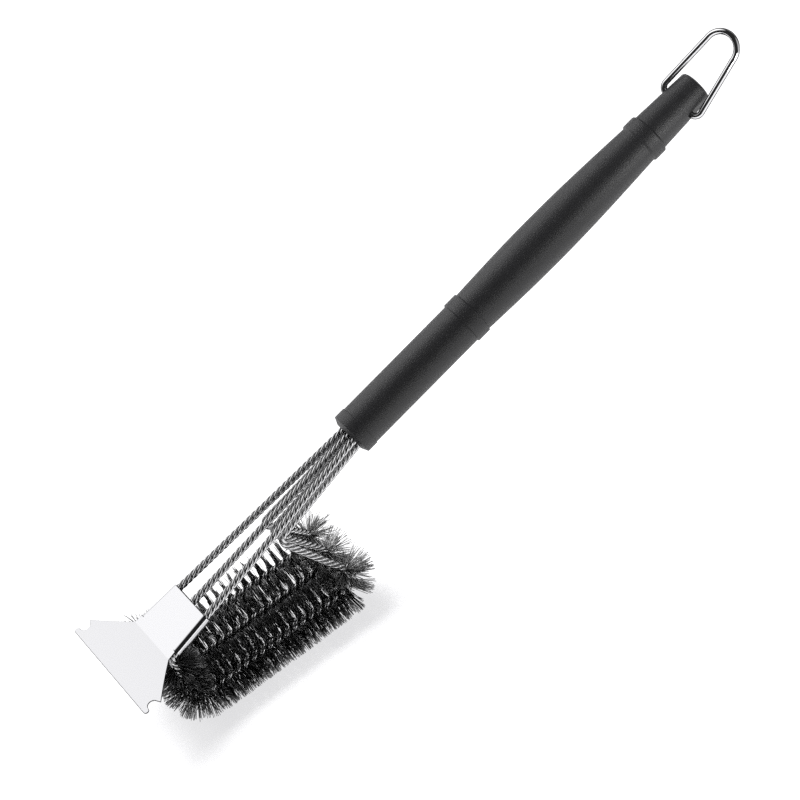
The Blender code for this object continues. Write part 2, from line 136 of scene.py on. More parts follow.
# Bristles: single wires, pinched in the middle, and loose where the bristled part ends. Their
# shades follow a beta distribution: most wires are dark and a few are bright
BRISTLE_REACH = 0.0142
BRISTLE_R = 0.00017
BRISTLES_PER_METRE = 14500
END_WIRES = 60
BRISTLE_TOP_Z = 0.0405
BRISTLE_END_TURN = math.radians(105)
BRISTLE_END_TOP_Z = 2.5 * CORE_Z
BRISTLE_POINTS = 9
BRISTLE_SIDES = 3
BRISTLE_WAVE = 0.00014
BRISTLE_LAYER = 0.00055
REACH_SPREAD = 0.03
REACH_LIMITS = (0.88, 1.03)
SHORT_REACH = (0.60, 0.95)
END_LOOSENING = 0.0060
END_REACH = 0.06
# Painted highlight: the loose wires where the bristled part ends are made paler by up to this much
END_PAINTED_HIGHLIGHT = 0.50
SHADE_SPREAD = (0.36, 2.2)
SHADE_SHARE = 0.95
# Painted highlight: the wires are made paler towards their tips by this share
TIP_SHARE = 0.08
FAN_SPREAD = math.radians(3)
FAN_OPENED = 0.25
STRAY_SPREAD = math.radians(35)
STRAY_SHARE = 0.04
# Density, half width of the leaf of bristles, lean, share of wires at full length and painted
# shade, a factor on the wires' tone that darkens the right brush
BRUSH_TRAITS = {
    "left": (1.0, math.radians(8), 0.035, 0.14, 1.0),
    "centre": (1.0, math.radians(13), 0.045, 0.55, 1.0),
    "right": (1.25, math.radians(30), 0.080, 0.95, 0.52),
}

# Scraper
SHEET = 0.0006
SLEEVE_REAR_S = -0.1183
SLEEVE_FRONT_S = -0.1416
SLEEVE_R = 0.00255
SLEEVE_SEAM = 0.0010
SLEEVE_STEPS = 18
SLEEVE_ROWS = 8
NECK_HALF = 0.0179
BLADE_Z = 0.0457
BLADE_BEND_X = -0.0542
BLADE_BEND_HALF = 0.0185
FLARE_END = Vector((-0.0711, 0.0392))
FLARE_SAG = 0.0003
NOTCH_CENTRE = Vector((-0.0751, 0.0375))
NOTCH_R = 0.0028
NOTCH_ARC_DEG = (-15, -180)
FINGER_CENTRE = Vector((-0.0796, 0.0380))
FINGER_R = 0.0016
FINGER_ARC_DEG = (0, 180)
FLARE_STEPS = 12
NOTCH_STEPS = 20
FINGER_STEPS = 16
RIM_WIDTH = 0.00024
RIM_MIN_ANGLE = math.radians(50)
SHEET_SHARP_ANGLE = math.radians(12)

# Hanging loop
LOOP_WIRE_R = 0.0017
LOOP_SWING = math.radians(-25)
LOOP_HALF_WIDTH = 0.0132
LOOP_HALF_WIDTH_END = 0.0092
LOOP_REACH = 0.0449
LOOP_ELBOW_R = 0.0040
LOOP_PIN_END_R = 0.00355
LOOP_ARC_STEPS = 36
LOOP_ELBOW_STEP = math.radians(5)
LOOP_SIDES = 24
LOOP_SPACING = 0.0005

# Camera: how it is turned about the handle's line, tilted and spun, and where it looks
VIEW_ROLL = math.radians(45)
VIEW_TILT = math.radians(2.9)
VIEW_SPIN = math.radians(45.3)
VIEW_DISTANCE = 1.487
VIEW_LENS = 130.5
VIEW_ALONG_S = 0.02985
VIEW_ASIDE = 0.00528

# Studio; a soft light has a direction, a radiance and the angles in degrees from its middle at
# which it starts and at which it is full
FLOOR_HALF = 4.0
FLOOR_DROP = 0.0001
FLOOR_GREY = (0.36, 0.36, 0.36, 1.0)
FLOOR_GLOW_COLOUR = (0.985, 0.985, 1.0, 1.0)
FLOOR_GLOW = 0.72
ROOM_RADIANCE = 0.022
SOFT_LIGHTS = [
    (Vector((-0.25, 0.70, 0.66)), 1.80, 45, 8),
    (Vector((-0.35, 0.90, 0.25)), 0.75, 46, 20),
    (Vector((-0.12, -1.0, 0.03)), 2.90, 17, 5),
    (Vector((0.80, 0.50, 0.20)), 0.55, 42, 10),
    (Vector((0.66, -0.68, 0.36)), 0.50, 34, 12),
]
KEY_TARGET = Vector((0.08, 0, 0.05))
SIDE_TARGET_S = 0.240

RNG = np.random.default_rng(7)


# ---------------------------------------------------------------- handle directions from the frame

HINGE = frame["joints"][0]
PIVOT = Vector(HINGE["pos_m"])
HINGE_AXIS = Vector(HINGE["axis"]).normalized()
LEFT = Vector((0, 1, 0))
RIGHT = -LEFT
UP = (HINGE_AXIS - HINGE_AXIS.dot(LEFT) * LEFT).normalized()
ALONG = LEFT.cross(UP)
HANDLE_START = PIVOT - LOOP_PIVOT_S * ALONG


def handle_point(s, w, d):
    """Position of a point given along, right of and below the handle's axis."""
    return HANDLE_START + s * ALONG + w * RIGHT - d * UP


# ---------------------------------------------------------------- material nodes


def new_material(name):
    mat = bpy.data.materials.new(name)
    mat.use_nodes = True
    nodes = mat.node_tree.nodes
    return mat, mat.node_tree, nodes["Principled BSDF"]


def add_node(tree, kind, **values):
    node = tree.nodes.new(kind)
    for key, value in values.items():
        if key in node.inputs:
            node.inputs[key].default_value = value
        else:
            setattr(node, key, value)
    return node


def noise(tree, scale, detail=2.0, stretch=(1.0, 1.0, 1.0)):
    """Noise in object space, optionally stretched along an axis."""
    place = add_node(tree, "ShaderNodeTexCoord")
    mapping = add_node(tree, "ShaderNodeMapping", Scale=stretch)
    tree.links.new(place.outputs["Object"], mapping.inputs["Vector"])
    node = add_node(tree, "ShaderNodeTexNoise", Scale=scale, Detail=detail)
    tree.links.new(mapping.outputs["Vector"], node.inputs["Vector"])
    return node.outputs["Fac"]


def ramp(tree, value, low, high, low_out, high_out):
    node = add_node(tree, "ShaderNodeMapRange")
    node.inputs["From Min"].default_value = low
    node.inputs["From Max"].default_value = high
    node.inputs["To Min"].default_value = low_out
    node.inputs["To Max"].default_value = high_out
    tree.links.new(value, node.inputs["Value"])
    return node.outputs["Result"]


def colour_ramp(tree, value, dark, light):
    node = add_node(tree, "ShaderNodeMix", data_type="RGBA")
    tree.links.new(value, node.inputs["Factor"])
    node.inputs[6].default_value = (*dark, 1.0)
    node.inputs[7].default_value = (*light, 1.0)
    return node.outputs[2]


def edge_on(tree, start, full, facing, grazing):
    """A value that goes from facing to grazing as the surface turns away from the eye."""
    weight = add_node(tree, "ShaderNodeLayerWeight", Blend=0.5)
    return ramp(tree, weight.outputs["Facing"], start, full, facing, grazing)


def darkened(tree, colour, factor):
    """A colour times a factor."""
    node = add_node(tree, "ShaderNodeVectorMath", operation="SCALE")
    tree.links.new(colour, node.inputs[0])
    tree.links.new(factor, node.inputs["Scale"])
    return node.outputs["Vector"]


def bump(tree, height, strength, distance):
    node = add_node(tree, "ShaderNodeBump", Strength=strength, Distance=distance)
    tree.links.new(height, node.inputs["Height"])
    return node.outputs["Normal"]


def handle_plastic():
    """Matte black plastic with a fine moulded grain, with painted shade towards its outline."""
    mat, tree, bsdf = new_material("handle_plastic")
    grain = noise(tree, 1900.0, 3.0)
    patches = noise(tree, 260.0, 3.0)
    plastic = colour_ramp(tree, patches, (0.011, 0.011, 0.0118), (0.017, 0.017, 0.0182))
    # Painted shade: the base colour darkens where the surface turns away from the eye
    outline = edge_on(tree, 0.55, 0.92, 1.0, 0.15)
    tree.links.new(darkened(tree, plastic, outline), bsdf.inputs["Base Color"])
    tree.links.new(ramp(tree, grain, 0.3, 0.7, 0.30, 0.48), bsdf.inputs["Roughness"])
    tree.links.new(edge_on(tree, 0.42, 0.85, 0.48, 0.05), bsdf.inputs["Specular IOR Level"])
    tree.links.new(bump(tree, grain, 1.0, 0.00022), bsdf.inputs["Normal"])
    return mat


def strand_steel():
    """Drawn steel wire with duller spots, with painted shade where it turns away from the eye."""
    mat, tree, bsdf = new_material("strand_steel")
    bsdf.inputs["Metallic"].default_value = 1.0
    spots = noise(tree, 300.0, 3.0)
    steel = colour_ramp(tree, spots, (0.56, 0.56, 0.565), (0.68, 0.68, 0.685))
    # Painted shade: the base colour darkens where the surface turns away from the eye
    outline = edge_on(tree, 0.30, 0.75, 1.0, 0.10)
    tree.links.new(darkened(tree, steel, outline), bsdf.inputs["Base Color"])
    bsdf.inputs["Specular Tint"].default_value = (0.1, 0.1, 0.1, 1.0)
    tree.links.new(ramp(tree, spots, 0.3, 0.7, 0.08, 0.16), bsdf.inputs["Roughness"])
    return mat


def bristle_steel():
    """Fine dark steel wire, its tone varied from wire to wire. Its shade attribute also holds
    painted highlights at the tips and loose ends and painted shade on the right brush.
    """
    mat, tree, bsdf = new_material("bristle_steel")
    bsdf.inputs["Metallic"].default_value = 1.0
    shade = add_node(tree, "ShaderNodeAttribute", attribute_name="shade")
    steel = colour_ramp(tree, shade.outputs["Fac"], (0.030, 0.030, 0.031), (0.95, 0.95, 0.95))
    tree.links.new(steel, bsdf.inputs["Base Color"])
    bsdf.inputs["Roughness"].default_value = 0.32
    return mat


def scraper_steel():
    """Bright stainless sheet with a faint brushed grain; its rims are painted near-black as painted
    shade.
    """
    mat, tree, bsdf = new_material("scraper_steel")
    bsdf.inputs["Metallic"].default_value = 1.0
    grain = noise(tree, 500.0, 3.0, (6.0, 0.35, 1.0))
    sheet = colour_ramp(tree, grain, (0.515, 0.515, 0.527), (0.530, 0.530, 0.542))
    # Painted shade: the rim faces marked by cut_edge are painted near-black
    edge = add_node(tree, "ShaderNodeAttribute", attribute_name="cut_edge")
    cut = add_node(tree, "ShaderNodeMix", data_type="RGBA")
    tree.links.new(edge.outputs["Fac"], cut.inputs["Factor"])
    tree.links.new(sheet, cut.inputs[6])
    cut.inputs[7].default_value = (0.02, 0.02, 0.02, 1.0)
    tree.links.new(cut.outputs[2], bsdf.inputs["Base Color"])
    tree.links.new(ramp(tree, grain, 0.3, 0.7, 0.10, 0.16), bsdf.inputs["Roughness"])
    tree.links.new(bump(tree, grain, 0.03, 0.00005), bsdf.inputs["Normal"])
    return mat


def loop_chrome():
    """Polished chrome with very light wear, with painted shade towards its outline."""
    mat, tree, bsdf = new_material("loop_chrome")
    bsdf.inputs["Metallic"].default_value = 1.0
    wear = noise(tree, 350.0, 4.0)
    chrome = colour_ramp(tree, wear, (0.80, 0.80, 0.81), (0.90, 0.90, 0.91))
    # Painted shade: the base colour darkens where the surface turns away from the eye
    outline = edge_on(tree, 0.18, 0.52, 1.0, 0.12)
    tree.links.new(darkened(tree, chrome, outline), bsdf.inputs["Base Color"])
    bsdf.inputs["Specular Tint"].default_value = (0.1, 0.1, 0.1, 1.0)
    tree.links.new(ramp(tree, wear, 0.45, 0.75, 0.03, 0.09), bsdf.inputs["Roughness"])
    return mat


def band_steel():
    """Plain crimped strip steel."""
    mat, tree, bsdf = new_material("band_steel")
    bsdf.inputs["Metallic"].default_value = 1.0
    stains = noise(tree, 400.0, 4.0)
    steel = colour_ramp(tree, stains, (0.32, 0.32, 0.33), (0.5, 0.5, 0.51))
    tree.links.new(steel, bsdf.inputs["Base Color"])
    tree.links.new(ramp(tree, stains, 0.3, 0.7, 0.3, 0.5), bsdf.inputs["Roughness"])
    return mat


# ---------------------------------------------------------------- mesh helpers


def add_piece(name, mesh, mat, body, nodes):
    """One visible piece that rides a body and stands for the given CAD nodes."""
    obj = bpy.data.objects.new(name, mesh)
    bpy.context.scene.collection.objects.link(obj)
    mesh.materials.clear()
    mesh.materials.append(mat)
    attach(obj, body)
    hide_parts(*nodes)


def mesh_from_grid(name, grid):
    """One tube with closed ends from a (rings, sides, 3) array, each ring closed on itself."""
    rings, sides, _ = grid.shape
    index = np.arange(rings * sides).reshape(rings, sides)
    beside = np.roll(index, -1, axis=1)
    quads = np.stack([index[:-1], beside[:-1], beside[1:], index[1:]], axis=-1).reshape(-1, 4)
    faces = quads.tolist() + [index[0, ::-1].tolist(), index[-1].tolist()]
    mesh = bpy.data.meshes.new(name)
    mesh.from_pydata(grid.reshape(-1, 3).tolist(), [], faces)
    mesh.validate()
    mesh.shade_smooth()
    mesh.set_sharp_from_angle(angle=TUBE_SHARP_ANGLE)
    return mesh


def unit(vectors):
    return vectors / np.linalg.norm(vectors, axis=-1, keepdims=True)


def tangents_of(points):
    return unit(np.gradient(points, axis=0))


def carried_normals(points, tangents, first):
    """Normals along a line, carried from point to point with the least turning."""
    normal = first - first.dot(tangents[0]) * tangents[0]
    normals = np.empty_like(points)
    for i, tangent in enumerate(tangents):
        normal = normal - normal.dot(tangent) * tangent
        normal = normal / np.linalg.norm(normal)
        normals[i] = normal
    return normals


def tube_grid(points, radius, sides):
    """Rings of a round tube along a line of points."""
    tangents = tangents_of(points)
    start = np.array([0.0, 1.0, 0.0])
    if abs(tangents[0][1]) > 0.9:
        start = np.array([0.0, 0.0, 1.0])
    normals = carried_normals(points, tangents, start)
    sideways = np.cross(tangents, normals)
    turns = np.linspace(0, 2 * math.pi, sides, endpoint=False)
    ring = normals[:, None] * np.cos(turns)[:, None] + sideways[:, None] * np.sin(turns)[:, None]
    return points[:, None] + ring * radius


def rounded_path(corners, radii, step):
    """A polyline whose inner corners are replaced by arcs of the given radii."""
    points = [corners[0]]
    for before, corner, after, radius in zip(corners, corners[1:], corners[2:], radii):
        to_before = (before - corner).normalized()
        to_after = (after - corner).normalized()
        inside = to_before.angle(to_after)
        turn = math.pi - inside
        if radius == 0:
            points.append(corner)
            continue
        centre = corner + (to_before + to_after).normalized() * radius / math.sin(inside / 2)
        start = corner + to_before * radius / math.tan(inside / 2) - centre
        axis = to_before.cross(start).normalized()
        steps = max(2, math.ceil(turn / step))
        for i in range(steps + 1):
            angle = turn * i / steps
            points.append(centre + start * math.cos(angle) + axis.cross(start) * math.sin(angle))
    points.append(corners[-1])
    return points


def resampled(points, spacing):
    """The same line with evenly spaced points, and the distance along it of each."""
    line = np.array([tuple(p) for p in points])
    lengths = np.concatenate([[0.0], np.cumsum(np.linalg.norm(np.diff(line, axis=0), axis=1))])
    count = int(lengths[-1] / spacing) + 1
    along = np.linspace(0.0, lengths[-1], count)
    return np.stack([np.interp(along, lengths, line[:, i]) for i in range(3)], axis=1), along


# ---------------------------------------------------------------- handle


def grip_radius(s):
    """Radius of the swelling rear grip: a quarter sine up to its crown and another down."""
    if s < SWELL_TOP_S:
        t = (s - MIDDLE_BEAD[1]) / (SWELL_TOP_S - MIDDLE_BEAD[1])
        return SWELL_FRONT_R + (SWELL_TOP_R - SWELL_FRONT_R) * math.sin(t * math.pi / 2)
    t = (s - SWELL_TOP_S) / (REAR_BEAD[0] - SWELL_TOP_S)
    return SWELL_REAR_R + (SWELL_TOP_R - SWELL_REAR_R) * math.cos(t * math.pi / 2)


def rounded_profile(corners):
    """Profile points from (s, r, rounding) corners, each rounded by an arc of that radius."""
    path = [Vector((s, r, 0)) for s, r, _ in corners]
    radii = [rounding for _, _, rounding in corners[1:-1]]
    return [(p.x, p.y) for p in rounded_path(path, radii, PROFILE_ARC_STEP)]


def handle_outline():
    """Outer side of the handle from its nose to its tail, as (s, radius)."""
    start = MIDDLE_BEAD[1] + GRIP_EASE
    end = REAR_BEAD[0] - GRIP_EASE
    front = rounded_profile([
        (-NOSE_LENGTH, PILOT_R, 0),
        (-NOSE_LENGTH, NOSE_R, EDGE_ROUNDING),
        (0.0, COLLAR_R, BEAD_ROUNDING),
        (COLLAR_LENGTH, COLLAR_R, EDGE_ROUNDING),
        (COLLAR_LENGTH + COLLAR_STEP, BARREL_R, COLLAR_CREASE),
        (MIDDLE_BEAD[0] - BEAD_FOOT, BARREL_R, CREASE_ROUNDING),
        (MIDDLE_BEAD[0] + BEAD_FRONT_SHOULDER, MIDDLE_BEAD_R, BEAD_ROUNDING),
        (MIDDLE_BEAD[1] - BEAD_REAR_SHOULDER, MIDDLE_BEAD_R, BEAD_ROUNDING),
        (MIDDLE_BEAD[1], SWELL_FRONT_R, CREASE_ROUNDING),
        (start, grip_radius(start), 0),
    ])
    stations = [start + (end - start) * i / GRIP_STEPS for i in range(1, GRIP_STEPS)]
    middle = [(s, grip_radius(s)) for s in stations]
    rear = rounded_profile([
        (end, grip_radius(end), 0),
        (REAR_BEAD[0], SWELL_REAR_R, REAR_BEAD_SHOULDER),
        (REAR_BEAD[0] + REAR_BEAD_SHOULDER, REAR_BEAD_R, REAR_BEAD_ROUNDING),
        (REAR_BEAD[1] - REAR_BEAD_SHOULDER, REAR_BEAD_R, REAR_BEAD_ROUNDING),
        (REAR_BEAD[1], TAIL_FRONT_R, EDGE_ROUNDING),
        (HANDLE_LENGTH, TAIL_REAR_R, TAIL_ROUNDING),
        (HANDLE_LENGTH, 0.0, 0),
    ])
    return front + middle + rear


def lathe(name, profile, steps):
    """Closed turned body from (s, radius) points; radii of 0 close on the axis."""
    mesh = bpy.data.meshes.new(name)
    work = bmesh.new()
    rings = []
    for s, radius in profile:
        if radius < 1e-6:
            rings.append([work.verts.new(handle_point(s, 0, 0))])
            continue
        ring = []
        for i in range(steps):
            angle = 2 * math.pi * i / steps
            point = handle_point(s, radius * math.cos(angle), radius * math.sin(angle))
            ring.append(work.verts.new(point))
        rings.append(ring)
    for low, high in zip(rings, rings[1:]):
        for i in range(steps):
            j = (i + 1) % steps
            if len(low) == 1:
                work.faces.new((low[0], high[j], high[i]))
            elif len(high) == 1:
                work.faces.new((low[i], low[j], high[0]))
            else:
                work.faces.new((low[i], low[j], high[j], high[i]))
    bmesh.ops.recalc_face_normals(work, faces=work.faces)
    work.to_mesh(mesh)
    work.free()
    return mesh


def helper(name, mesh):
    """A working object that is cut, or cuts another, and is removed afterwards."""
    obj = bpy.data.objects.new(name, mesh)
    bpy.context.scene.collection.objects.link(obj)
    return obj


def prism_mesh(name, outline, direction):
    """A closed prism from a ring of world points pushed along a vector."""
    low = [Vector(p) for p in outline]
    high = [p + direction for p in low]
    count = len(low)
    faces = [tuple(range(count))[::-1], tuple(range(count, 2 * count))]
    faces += [(i, (i + 1) % count, count + (i + 1) % count, count + i) for i in range(count)]
    mesh = bpy.data.meshes.new(name)
    mesh.from_pydata([tuple(p) for p in low + high], [], faces)
    work = bmesh.new()
    work.from_mesh(mesh)
    bmesh.ops.recalc_face_normals(work, faces=work.faces)
    work.to_mesh(mesh)
    work.free()
    return mesh


def slot_outline(s):
    """Round-cornered slot in the plane across the handle at s."""
    points = []
    for corner, (down, side) in enumerate(((1, 1), (-1, 1), (-1, -1), (1, -1))):
        d = SLOT_DROP + down * (SLOT_HALF_HEIGHT - SLOT_CORNER_R)
        w = side * (SLOT_HALF_WIDTH - SLOT_CORNER_R)
        for i in range(SLOT_CORNER_STEPS + 1):
            angle = math.pi / 2 * (corner + i / SLOT_CORNER_STEPS)
            points.append(handle_point(s, w + SLOT_CORNER_R * math.sin(angle),
                                       d + SLOT_CORNER_R * math.cos(angle)))
    return points


def circle_outline(centre, axis, radius, sides):
    across = axis.cross(ALONG).normalized()
    other = axis.cross(across)
    turns = [2 * math.pi * i / sides for i in range(sides)]
    return [centre + radius * (across * math.cos(turn) + other * math.sin(turn))
            for turn in turns]


def rectangle_outline(centre, axis, length, width):
    across = axis.cross(ALONG).normalized()
    return [centre + ALONG * x * length / 2 + across * y * width / 2
            for x, y in ((-1, -1), (1, -1), (1, 1), (-1, 1))]


def cut_all(obj, cutters):
    """The mesh with its modifiers and one exact Boolean for each cutter applied."""
    for cutter in cutters:
        mod = obj.modifiers.new(cutter.name, "BOOLEAN")
        mod.operation = "DIFFERENCE"
        mod.solver = "EXACT"
        mod.object = cutter
    bpy.context.view_layer.update()
    graph = bpy.context.evaluated_depsgraph_get()
    mesh = bpy.data.meshes.new_from_object(obj.evaluated_get(graph))
    bpy.data.objects.remove(obj)
    for cutter in cutters:
        bpy.data.objects.remove(cutter)
    return mesh


def make_handle(mat):
    """Turned moulding with its core hole, nose slot, tail flats and the loop's two holes."""
    bore = [(LIP_LENGTH, PILOT_R), (LIP_LENGTH, BORE_R), (BORE_STRAIGHT_END, BORE_R),
            (BORE_END, BORE_END_R), (BORE_END, 0.0)]
    turned = lathe("handle_solid", handle_outline()[::-1] + bore, TURN_STEPS)
    solid = helper("handle_solid", turned)
    slot = prism_mesh("slot", slot_outline(SLOT_CUT_START_S), ALONG * SLOT_CUT_LENGTH)
    cutters = [helper("slot", slot)]
    for side in (1, -1):
        out = HINGE_AXIS * side
        at = handle_point(TAIL_FLAT_START_S + CUTTER_LENGTH / 2, 0, 0) + out * TAIL_FLAT_R
        flat = rectangle_outline(at, out, CUTTER_LENGTH, CUTTER_LENGTH)
        cutters.append(helper(f"flat{side}", prism_mesh("flat", flat, out * CUTTER_DEPTH)))
        hole = circle_outline(PIVOT + out * LOOP_HOLE_BOTTOM_R, out, LOOP_HOLE_R, HOLE_SIDES)
        cutters.append(helper(f"hole{side}", prism_mesh("hole", hole, out * CUTTER_DEPTH)))
    mesh = cut_all(solid, cutters)
    mesh.name = "handle_grip_moulding"
    mesh.shade_smooth()
    mesh.set_sharp_from_angle(angle=HANDLE_SHARP_ANGLE)
    add_piece("handle_grip_moulding", mesh, mat, "brush", ["handle_grip"])


# ---------------------------------------------------------------- ropes


def core_height(side):
    return CORE_Z + (CENTRE_CORE_LIFT if side == 0 else 0.0)


def rod_point(s, side):
    return handle_point(s, side * (MOUTH_SPACING - ROD_SPLAY_RATE * s),
                        ROD_DROP_AT_MOUTH - ROD_DROP_RATE * s)


def rod_length_to(x):
    """Handle coordinate s at which a rod reaches the plane of the given x."""
    slope = ALONG.x + ROD_DROP_RATE * UP.x
    return (x - rod_point(0.0, 0).x) / slope


def rope_line(side):
    """Centre line of one rope: rod, front strut, core, rear strut and return to the handle."""
    z = core_height(side)
    y = -side * CORE_SPACING
    top_s, top_w, top_d = RETURN_TOP
    corners = [
        handle_point(ROPE_END_S, side * MOUTH_SPACING, ROD_DROP_AT_MOUTH),
        handle_point(0.0, side * MOUTH_SPACING, ROD_DROP_AT_MOUTH),
        rod_point(rod_length_to(FRONT_STRUT_X), side),
        Vector((FRONT_STRUT_X, y, z)),
        Vector((REAR_CORNER_X, y, z)),
        handle_point(top_s, side * top_w, top_d),
        handle_point(0.0, side * MOUTH_SPACING, RETURN_DROP_AT_MOUTH),
        handle_point(ROPE_END_S, side * MOUTH_SPACING, RETURN_DROP_AT_MOUTH),
    ]
    radii = [0, NECK_BEND_R, LOW_BEND_R, LOW_BEND_R, RETURN_BEND_R, 0]
    return resampled(rounded_path(corners, radii, ROPE_ARC_STEP), ROPE_SPACING)


def bristled_span(points, along):
    """Where along a rope the bristles start, on the front strut, and end, on the rear bend."""
    tangents = tangents_of(points)
    quarter = along[len(points) // 4]
    low = np.flatnonzero((points[:, 2] < BRISTLE_TOP_Z) & (points[:, 0] < 0))
    start = along[low[0]]
    turned = np.arctan2(tangents[:, 2], tangents[:, 0])
    rear = np.flatnonzero((points[:, 0] > 0) & (turned > BRISTLE_END_TURN) & (along > quarter))
    rear = rear[points[rear, 2] < BRISTLE_END_TOP_Z]
    return start, along[rear[0]]


def eased(distance):
    """A smooth step from 0 to 1 round a distance of 0."""
    return 1 / (1 + np.exp(-distance / LAY_BLEND))


def lay_angle(along, span):
    """Twist of the lay at each point, tighter where the bristles are, and how far it is inside."""
    start, end = span
    inside = eased(along - start) * eased(end - along)
    rate = 2 * math.pi * ((1 - inside) / BARE_PITCH + inside / BRISTLED_PITCH)
    step = np.gradient(along)
    return -np.cumsum(rate * step), inside


def rope_frames(side):
    """One rope's line with its directions, lay and bristled span."""
    points, along = rope_line(side)
    tangents = tangents_of(points)
    normals = carried_normals(points, tangents, np.array([0.0, 1.0, 0.0]))
    sideways = np.cross(tangents, normals)
    span = bristled_span(points, along)
    twist, inside = lay_angle(along, span)
    return {"points": points, "along": along, "tangents": tangents, "normals": normals,
            "sideways": sideways, "span": span, "twist": twist, "inside": inside}


def make_rope(prefix, rope, mat):
    """The four twisted strands of one rope, two pairs apart where they pinch bristles."""
    for number in range(4):
        pair, member = divmod(number, 2)
        across = LAY_R * math.sqrt(0.5) + PINCH_GAP / 2 * rope["inside"]
        across = -across if pair else across
        beside = (-1 if member else 1) * LAY_R * math.sqrt(0.5)
        cosine, sine = np.cos(rope["twist"]), np.sin(rope["twist"])
        out = across * cosine - beside * sine
        aside = across * sine + beside * cosine
        line = (rope["points"] + rope["normals"] * out[:, None]
                + rope["sideways"] * aside[:, None])
        name = f"{prefix}_strand_{number + 1}"
        mesh = mesh_from_grid(name, tube_grid(line, STRAND_R, STRAND_SIDES))
        replaced = f"{prefix}_brush_wire_{number + 1}"
        add_piece(name, mesh, mat, "brush", [replaced])


# ---------------------------------------------------------------- bristles


def make_bristles(prefix, rope, mat):
    """Single bristle wires, each through the rope's pinch and out on both sides."""
    start, end = rope["span"]
    density, leaf, lean_spread, long_share, painted_shade_factor = BRUSH_TRAITS[prefix]
    count = int((end - start) * BRISTLES_PER_METRE * density)
    even = RNG.uniform(start, end, count)
    at = np.concatenate([even, RNG.uniform(end - END_LOOSENING, end, END_WIRES)])
    count = len(at)

    def along_rope(values):
        if values.ndim == 1:
            return np.interp(at, rope["along"], values)
        return np.stack([np.interp(at, rope["along"], values[:, i]) for i in range(3)], axis=1)

    centre = along_rope(rope["points"])
    tangent = unit(along_rope(rope["tangents"]))
    normal = along_rope(rope["normals"])
    sideways = along_rope(rope["sideways"])
    twist = along_rope(rope["twist"])
    steps = np.linspace(-1, 1, BRISTLE_POINTS)
    reach = BRISTLE_REACH * (1 + RNG.normal(0, REACH_SPREAD, (count, 2))).clip(*REACH_LIMITS)
    long = RNG.random((count, 2)) < long_share
    reach *= np.where(long, 1.0, RNG.uniform(*SHORT_REACH, (count, 2)))
    loose = np.exp(-((end - at) / END_LOOSENING) ** 2)
    reach *= 1 + END_REACH * loose[:, None]
    spread = leaf + (math.pi / 2 - leaf) * loose[:, None]
    fan = RNG.uniform(-1, 1, (count, 2)) * spread + RNG.normal(0, FAN_SPREAD, (count, 2))
    fan += RNG.normal(0, STRAY_SPREAD, (count, 2)) * (RNG.random((count, 2)) < STRAY_SHARE)
    lean = RNG.normal(0, lean_spread, (count, 2))
    wave = RNG.normal(0, BRISTLE_WAVE, (count, 2))
    layer = RNG.uniform(-1, 1, count) * BRISTLE_LAYER
    points = np.empty((count, BRISTLE_POINTS, 3))
    for i, t in enumerate(steps):
        half = 0 if t < 0 else 1
        sign = -1 if t < 0 else 1
        out = abs(t) * reach[:, half]
        angle = twist + math.pi / 2 + fan[:, half] * min(1.0, abs(t) / FAN_OPENED)
        across = normal * np.cos(angle)[:, None] + sideways * np.sin(angle)[:, None]
        around = np.cross(tangent, across)
        shift = lean[:, half] * out + wave[:, half] * math.sin(abs(t) * math.pi * 1.5)
        sway = wave[:, 1 - half] * math.sin(abs(t) * math.pi)
        points[:, i] = (centre + across * (out * sign)[:, None]
                        + tangent * (shift + layer)[:, None] + around * sway[:, None])
    points[:, :, 2] = np.maximum(points[:, :, 2], BRISTLE_R)
    name = f"{prefix}_bristle_wires"
    mesh = many_wires(name, points, BRISTLE_R)
    shade = np.repeat(RNG.beta(*SHADE_SPREAD, count), BRISTLE_POINTS * BRISTLE_SIDES)
    # Painted highlight: paler towards the tips
    tip = np.tile(np.repeat(np.abs(steps) ** 3, BRISTLE_SIDES), count)
    # Painted highlight: paler loose wires where the bristled part ends
    open_end = np.repeat(END_PAINTED_HIGHLIGHT * loose * RNG.random(count), BRISTLE_POINTS * BRISTLE_SIDES)
    # Painted shade: the brush's factor darkens the right brush's wires
    shades = painted_shade_factor * (SHADE_SHARE * shade + TIP_SHARE * tip) + open_end
    values = shades.clip(0, 1).astype(np.float32)
    mesh.attributes.new("shade", "FLOAT", "POINT").data.foreach_set("value", values)
    add_piece(name, mesh, mat, "brush", [f"{prefix}_bristles"])


